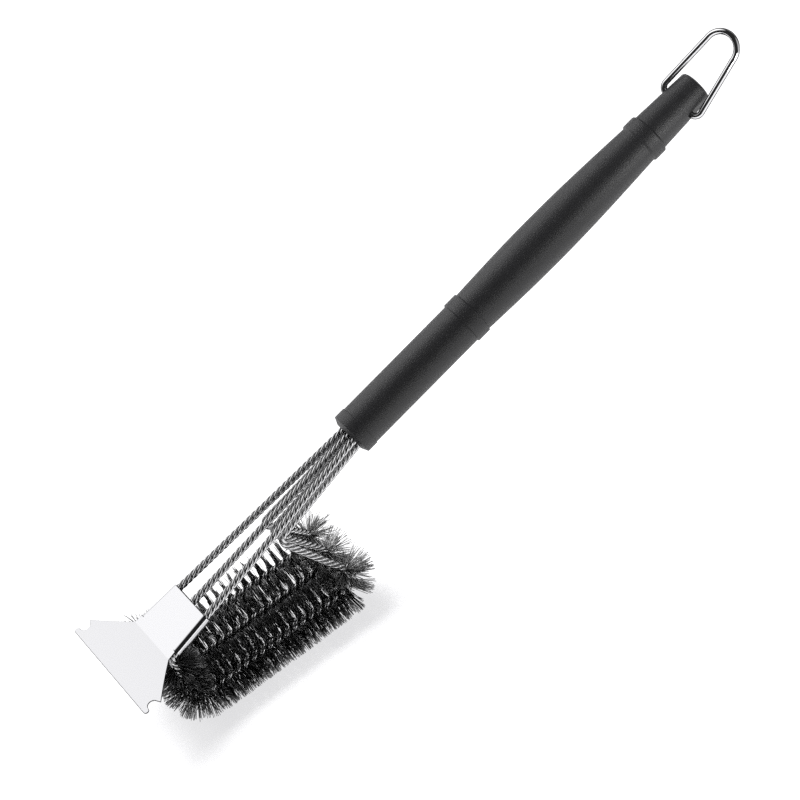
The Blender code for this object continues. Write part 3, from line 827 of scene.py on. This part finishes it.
def many_wires(name, points, radius):
    """One mesh of thin three-sided wires with closed ends, from a (wires, points, 3) array."""
    count, length, _ = points.shape
    tangents = unit(np.gradient(points, axis=1))
    whole = unit(points[:, -1] - points[:, 0])
    guide = np.where(np.abs(whole[:, 2:3]) < 0.8, [[0.0, 0.0, 1.0]], [[1.0, 0.0, 0.0]])
    normals = unit(np.cross(tangents, guide[:, None]))
    sideways = np.cross(tangents, normals)
    turns = np.linspace(0, 2 * math.pi, BRISTLE_SIDES, endpoint=False)
    ring = (normals[:, :, None] * np.cos(turns)[:, None]
            + sideways[:, :, None] * np.sin(turns)[:, None])
    verts = (points[:, :, None] + ring * radius).reshape(-1, 3)
    index = np.arange(count * length * BRISTLE_SIDES).reshape(count, length, BRISTLE_SIDES)
    beside = np.roll(index, -1, axis=2)
    quads = np.stack([index[:, :-1], beside[:, :-1], beside[:, 1:], index[:, 1:]], axis=-1)
    quads = quads.reshape(-1, 4)
    caps = np.concatenate([index[:, 0, ::-1], index[:, -1]])
    mesh = bpy.data.meshes.new(name)
    mesh.vertices.add(len(verts))
    mesh.vertices.foreach_set("co", verts.astype(np.float32).ravel())
    mesh.loops.add(quads.size + caps.size)
    corners = np.concatenate([quads.ravel(), caps.ravel()])
    mesh.loops.foreach_set("vertex_index", corners.astype(np.int32))
    mesh.polygons.add(len(quads) + len(caps))
    cap_starts = quads.size + np.arange(len(caps)) * BRISTLE_SIDES
    starts = np.concatenate([np.arange(len(quads)) * 4, cap_starts])
    mesh.polygons.foreach_set("loop_start", starts.astype(np.int32))
    mesh.update(calc_edges=True)
    mesh.validate()
    mesh.shade_smooth()
    return mesh


# ---------------------------------------------------------------- scraper


def sleeve_section(s):
    """Half of the folded sleeve at s, from the middle of its top to its seam, as (w, d)."""
    centre_w = MOUTH_SPACING - ROD_SPLAY_RATE * s
    centre_d = ROD_DROP_AT_MOUTH - ROD_DROP_RATE * s
    section = [(0.0, centre_d - SLEEVE_R)]
    for i in range(SLEEVE_STEPS + 1):
        angle = math.pi * i / SLEEVE_STEPS
        section.append((centre_w + SLEEVE_R * math.sin(angle),
                        centre_d - SLEEVE_R * math.cos(angle)))
    section.append((SLEEVE_SEAM, centre_d + SLEEVE_R))
    return section


def arc_points(centre, radius, start, end, steps):
    points = []
    for i in range(steps + 1):
        angle = math.radians(start + (end - start) * i / steps)
        points.append(Vector((centre.x + radius * math.cos(angle),
                              centre.y + radius * math.sin(angle))))
    return points


def blade_outline():
    """Half of the blade's edge as (x, y), from the bend line to the free edge."""
    bend = Vector((BLADE_BEND_X, BLADE_BEND_HALF))
    chord = FLARE_END - bend
    inward = Vector((-chord.y, chord.x)).normalized()
    if inward.y > 0:
        inward = -inward
    points = []
    for i in range(1, FLARE_STEPS + 1):
        t = i / FLARE_STEPS
        points.append(bend + chord * t + inward * FLARE_SAG * 4 * t * (1 - t))
    points += arc_points(NOTCH_CENTRE, NOTCH_R, *NOTCH_ARC_DEG, NOTCH_STEPS)
    points += arc_points(FINGER_CENTRE, FINGER_R, *FINGER_ARC_DEG, FINGER_STEPS)
    return points


def scraper_surface():
    """The sheet's middle surface: folded sleeve, neck and flat blade."""
    work = bmesh.new()
    rows = []
    for k in range(SLEEVE_ROWS + 1):
        s = SLEEVE_REAR_S + (SLEEVE_FRONT_S - SLEEVE_REAR_S) * k / SLEEVE_ROWS
        half = sleeve_section(s)
        full = [(-w, d) for w, d in half[:0:-1]] + half
        rows.append([work.verts.new(handle_point(s, w, d)) for w, d in full])
    for low, high in zip(rows, rows[1:]):
        for i in range(len(low) - 1):
            work.faces.new((low[i], low[i + 1], high[i + 1], high[i]))
    middle = len(rows[-1]) // 2
    fold, top = sleeve_section(SLEEVE_FRONT_S)[1]
    neck = [work.verts.new(handle_point(SLEEVE_FRONT_S, side * NECK_HALF, top)) for side in (-1, 1)]
    neck[1:1] = rows[-1][middle - 1:middle + 2]
    bend_fold = fold * (BLADE_BEND_HALF / NECK_HALF)
    bend = [work.verts.new((BLADE_BEND_X, y, BLADE_Z))
            for y in (BLADE_BEND_HALF, bend_fold, 0.0, -bend_fold, -BLADE_BEND_HALF)]
    for i in range(len(neck) - 1):
        work.faces.new((neck[i], neck[i + 1], bend[i + 1], bend[i]))
    half = blade_outline()
    edge_left = [work.verts.new((p.x, p.y, BLADE_Z)) for p in half]
    edge_right = [work.verts.new((p.x, -p.y, BLADE_Z)) for p in half]
    work.faces.new(bend[::-1] + edge_left + edge_right[::-1])
    bmesh.ops.recalc_face_normals(work, faces=work.faces)
    mesh = bpy.data.meshes.new("scraper_sheet")
    work.to_mesh(mesh)
    work.free()
    mesh.shade_smooth()
    mesh.set_sharp_from_angle(angle=SHEET_SHARP_ANGLE)
    return mesh


def make_scraper(mat):
    """The sheet with its thickness and rounded rims; the attribute cut_edge marks the rims."""
    mesh = scraper_surface()
    obj = helper("scraper_solid", mesh)
    sheet = obj.modifiers.new("sheet", "SOLIDIFY")
    sheet.thickness = SHEET
    sheet.offset = 0.0
    sheet.use_even_offset = True
    sheet.material_offset_rim = 1
    rim = obj.modifiers.new("rim", "BEVEL")
    rim.width = RIM_WIDTH
    rim.segments = 2
    rim.material = 1
    rim.limit_method = "ANGLE"
    rim.angle_limit = RIM_MIN_ANGLE
    rim.harden_normals = True
    mesh.materials.append(mat)
    mesh.materials.append(mat)
    mesh = cut_all(obj, [])
    edge = np.empty(len(mesh.polygons), dtype=np.int32)
    mesh.polygons.foreach_get("material_index", edge)
    marks = mesh.attributes.new("cut_edge", "FLOAT", "FACE")
    marks.data.foreach_set("value", edge.astype(np.float32))
    mesh.polygons.foreach_set("material_index", np.zeros(len(edge), dtype=np.int32))
    add_piece("scraper_sheet", mesh, mat, "brush", ["scraper_plate"])


# ---------------------------------------------------------------- hanging loop


def make_loop(mat):
    """Bent wire bail in the plane of the hinge axis and its swung direction."""
    centre_z = LOOP_REACH - LOOP_HALF_WIDTH_END
    half = [Vector((0, LOOP_PIN_END_R, 0)), Vector((0, LOOP_HALF_WIDTH, 0)),
            Vector((0, LOOP_HALF_WIDTH_END, centre_z))]
    leg = rounded_path(half, [LOOP_ELBOW_R], LOOP_ELBOW_STEP)
    turns = [math.pi * i / LOOP_ARC_STEPS for i in range(1, LOOP_ARC_STEPS)]
    arc = [Vector((0, LOOP_HALF_WIDTH_END * math.cos(turn),
                   centre_z + LOOP_HALF_WIDTH_END * math.sin(turn))) for turn in turns]
    other = [Vector((0, -p.y, p.z)) for p in leg[::-1]]
    across = HINGE_AXIS.cross(ALONG)
    outward = ALONG * math.cos(LOOP_SWING) + across * math.sin(LOOP_SWING)
    line = [PIVOT + HINGE_AXIS * p.y + outward * p.z for p in leg + arc + other]
    points, _ = resampled(line, LOOP_SPACING)
    mesh = mesh_from_grid("hanging_loop_wire", tube_grid(points, LOOP_WIRE_R, LOOP_SIDES))
    add_piece("hanging_loop_wire", mesh, mat, "loop", ["hanging_loop"])


# ---------------------------------------------------------------- studio


def view_axes():
    """Direction to the camera, and the handle's and the sideways direction as it sees them."""
    back = (math.cos(VIEW_TILT) * (math.cos(VIEW_ROLL) * UP + math.sin(VIEW_ROLL) * RIGHT)
            - math.sin(VIEW_TILT) * ALONG).normalized()
    forward = (ALONG - ALONG.dot(back) * back).normalized()
    aside = forward.cross(back)
    if aside.dot(math.cos(VIEW_ROLL) * RIGHT - math.sin(VIEW_ROLL) * UP) < 0:
        aside = -aside
    return back, forward, aside


def make_camera():
    back, forward, aside = view_axes()
    target = HANDLE_START + ALONG * VIEW_ALONG_S + aside * VIEW_ASIDE
    data = bpy.data.cameras.new("camera")
    data.lens = VIEW_LENS
    data.sensor_width = 36.0
    data.clip_start = 0.05
    data.clip_end = 20.0
    cam = bpy.data.objects.new("camera", data)
    bpy.context.scene.collection.objects.link(cam)
    right = forward * math.cos(VIEW_SPIN) + aside * math.sin(VIEW_SPIN)
    up = forward * math.sin(VIEW_SPIN) - aside * math.cos(VIEW_SPIN)
    matrix = Matrix((right, up, back)).transposed().to_4x4()
    matrix.translation = target + back * VIEW_DISTANCE
    cam.matrix_world = matrix
    bpy.context.scene.camera = cam


def make_floor():
    """Plain pale floor; most of its white is its own glow, which keeps the shadows light."""
    mesh = bpy.data.meshes.new("floor")
    corners = [(x * FLOOR_HALF, y * FLOOR_HALF, 0) for x, y in ((-1, -1), (1, -1), (1, 1), (-1, 1))]
    mesh.from_pydata(corners, [], [(0, 1, 2, 3)])
    obj = bpy.data.objects.new("floor", mesh)
    obj.location.z = -FLOOR_DROP
    bpy.context.scene.collection.objects.link(obj)
    mat, _, bsdf = new_material("floor_white")
    bsdf.inputs["Base Color"].default_value = FLOOR_GREY
    bsdf.inputs["Roughness"].default_value = 0.9
    bsdf.inputs["Specular IOR Level"].default_value = 0.0
    bsdf.inputs["Emission Color"].default_value = FLOOR_GLOW_COLOUR
    bsdf.inputs["Emission Strength"].default_value = FLOOR_GLOW
    mesh.materials.append(mat)


def make_world():
    """Soft lights in a dim room; where two overlap, the brighter one counts.

    The first is large and is what the scraper mirrors to the camera. The camera itself sees
    plain white beyond the floor.
    """
    world = bpy.data.worlds.new("studio")
    bpy.context.scene.world = world
    world.use_nodes = True
    tree = world.node_tree
    background = tree.nodes["Background"]
    place = add_node(tree, "ShaderNodeTexCoord")
    light = None
    for middle, radiance, start, full in SOFT_LIGHTS:
        dot = add_node(tree, "ShaderNodeVectorMath", operation="DOT_PRODUCT")
        tree.links.new(place.outputs["Generated"], dot.inputs[0])
        dot.inputs[1].default_value = middle.normalized()
        soft = ramp(tree, dot.outputs["Value"], math.cos(math.radians(start)),
                    math.cos(math.radians(full)), ROOM_RADIANCE, radiance)
        soft.node.interpolation_type = "SMOOTHSTEP"
        if light is None:
            light = soft
            continue
        brighter = add_node(tree, "ShaderNodeMath", operation="MAXIMUM")
        tree.links.new(light, brighter.inputs[0])
        tree.links.new(soft, brighter.inputs[1])
        light = brighter.outputs["Value"]
    path = add_node(tree, "ShaderNodeLightPath")
    seen = add_node(tree, "ShaderNodeMix", data_type="FLOAT")
    tree.links.new(path.outputs["Is Camera Ray"], seen.inputs["Factor"])
    tree.links.new(light, seen.inputs[2])
    seen.inputs[3].default_value = 1.0
    tree.links.new(seen.outputs[0], background.inputs["Strength"])
    background.inputs["Color"].default_value = (1, 1, 1, 1)


def area_lamp(name, target, direction, distance, size, power, mirrored):
    """A round lamp that faces the target, mirrored by glossy surfaces or not."""
    data = bpy.data.lights.new(name, "AREA")
    data.shape = "DISK"
    data.size = size
    data.energy = power
    obj = bpy.data.objects.new(name, data)
    bpy.context.scene.collection.objects.link(obj)
    obj.location = target + direction.normalized() * distance
    obj.rotation_mode = "QUATERNION"
    obj.rotation_quaternion = (-direction).to_track_quat("-Z", "Y")
    obj.visible_glossy = mirrored


def make_lamps():
    """Soft overhead light that casts the shadow, and a small one beside the tail."""
    area_lamp("key", KEY_TARGET, Vector((-0.15, 0.50, 1.0)),
              distance=1.6, size=1.1, power=46.0, mirrored=False)
    area_lamp("side", handle_point(SIDE_TARGET_S, 0, 0), Vector((0.15, -1.0, 0.08)),
              distance=0.16, size=0.08, power=0.10, mirrored=True)


# ---------------------------------------------------------------- the whole


def main():
    """Only the crimp band keeps its CAD shape; finer pieces take the place of the others."""
    band = band_steel()
    for node in frame["nodes"].values():
        node.data.materials.clear()
        node.data.materials.append(band)
    make_handle(handle_plastic())
    make_scraper(scraper_steel())
    strand = strand_steel()
    bristle = bristle_steel()
    for prefix, side in (("left", -1), ("centre", 0), ("right", 1)):
        rope = rope_frames(side)
        make_rope(prefix, rope, strand)
        make_bristles(prefix, rope, bristle)
    make_loop(loop_chrome())
    make_floor()
    make_world()
    make_lamps()
    make_camera()
    bpy.context.scene.view_settings.view_transform = "Standard"
    bpy.context.scene.cycles.use_denoising = False


main()
